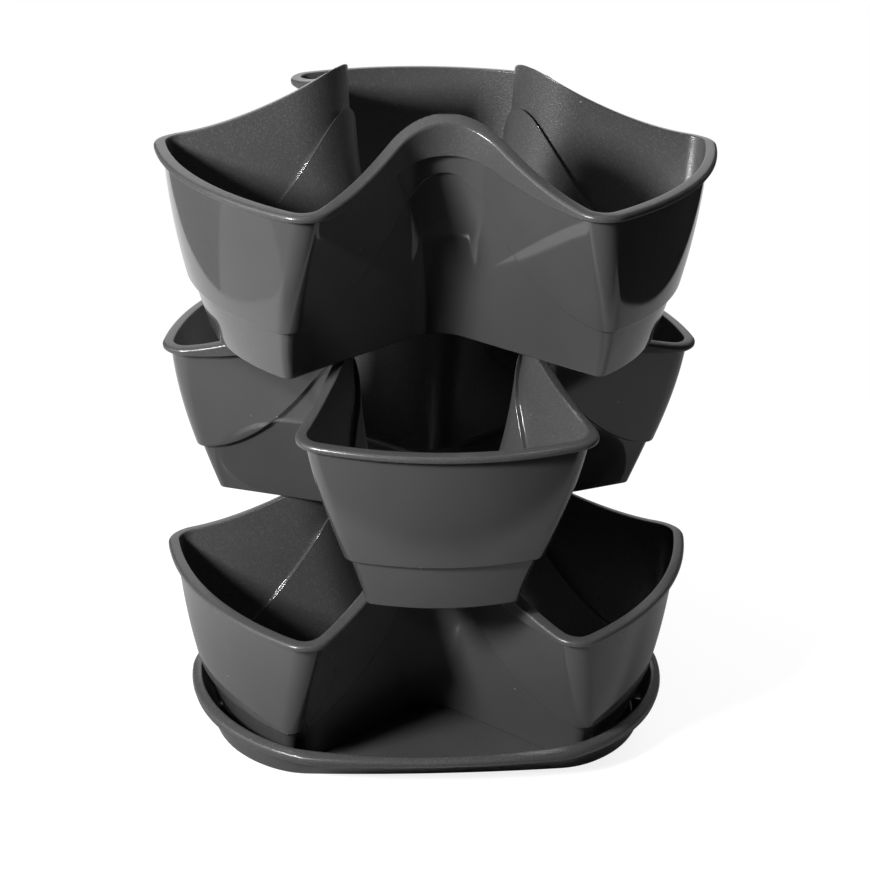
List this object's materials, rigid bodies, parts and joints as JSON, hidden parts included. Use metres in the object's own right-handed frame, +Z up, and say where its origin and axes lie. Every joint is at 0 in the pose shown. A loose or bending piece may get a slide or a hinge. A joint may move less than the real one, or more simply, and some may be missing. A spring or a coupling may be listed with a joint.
{
  "type": "vertical planter tower",
  "caption": "Glossy dark grey moulded plastic planter tower: lobed pots stacked turned to one another, each standing on the wavy rim below, in a drip saucer.",
  "frame": {"origin": "on the ground under the middle of the tower, at the centre of the saucer's underside", "axes": "+Z up, -Y to the front (towards the viewer of the picture, the side that the middle pot's front lobe points to), +X to the viewer's right"},
  "size_m": [0.4064, 0.4006, 0.5009],
  "materials": {
    "pot_plastic": "glossy anthracite grey with a fine speckle",
    "saucer_plastic": "glossy anthracite grey with a fine speckle"
  },
  "bodies": {
    "saucer": {"saucer": "saucer_plastic"},
    "bottom_pot": {"bottom_pot": "pot_plastic"},
    "middle_pot": {"middle_pot": "pot_plastic"},
    "top_pot": {"top_pot": "pot_plastic"}
  },
  "joints": [
    {"name": "bottom_pot_lift", "type": "slide", "parent": "saucer", "child": "bottom_pot", "axis": [0, 0, 1], "range_m": [0, 0.08]},
    {"name": "middle_pot_lift", "type": "slide", "parent": "bottom_pot", "child": "middle_pot", "axis": [0, 0, 1], "range_m": [0, 0.08]},
    {"name": "top_pot_lift", "type": "slide", "parent": "middle_pot", "child": "top_pot", "axis": [0, 0, 1], "range_m": [0, 0.08]}
  ]
}
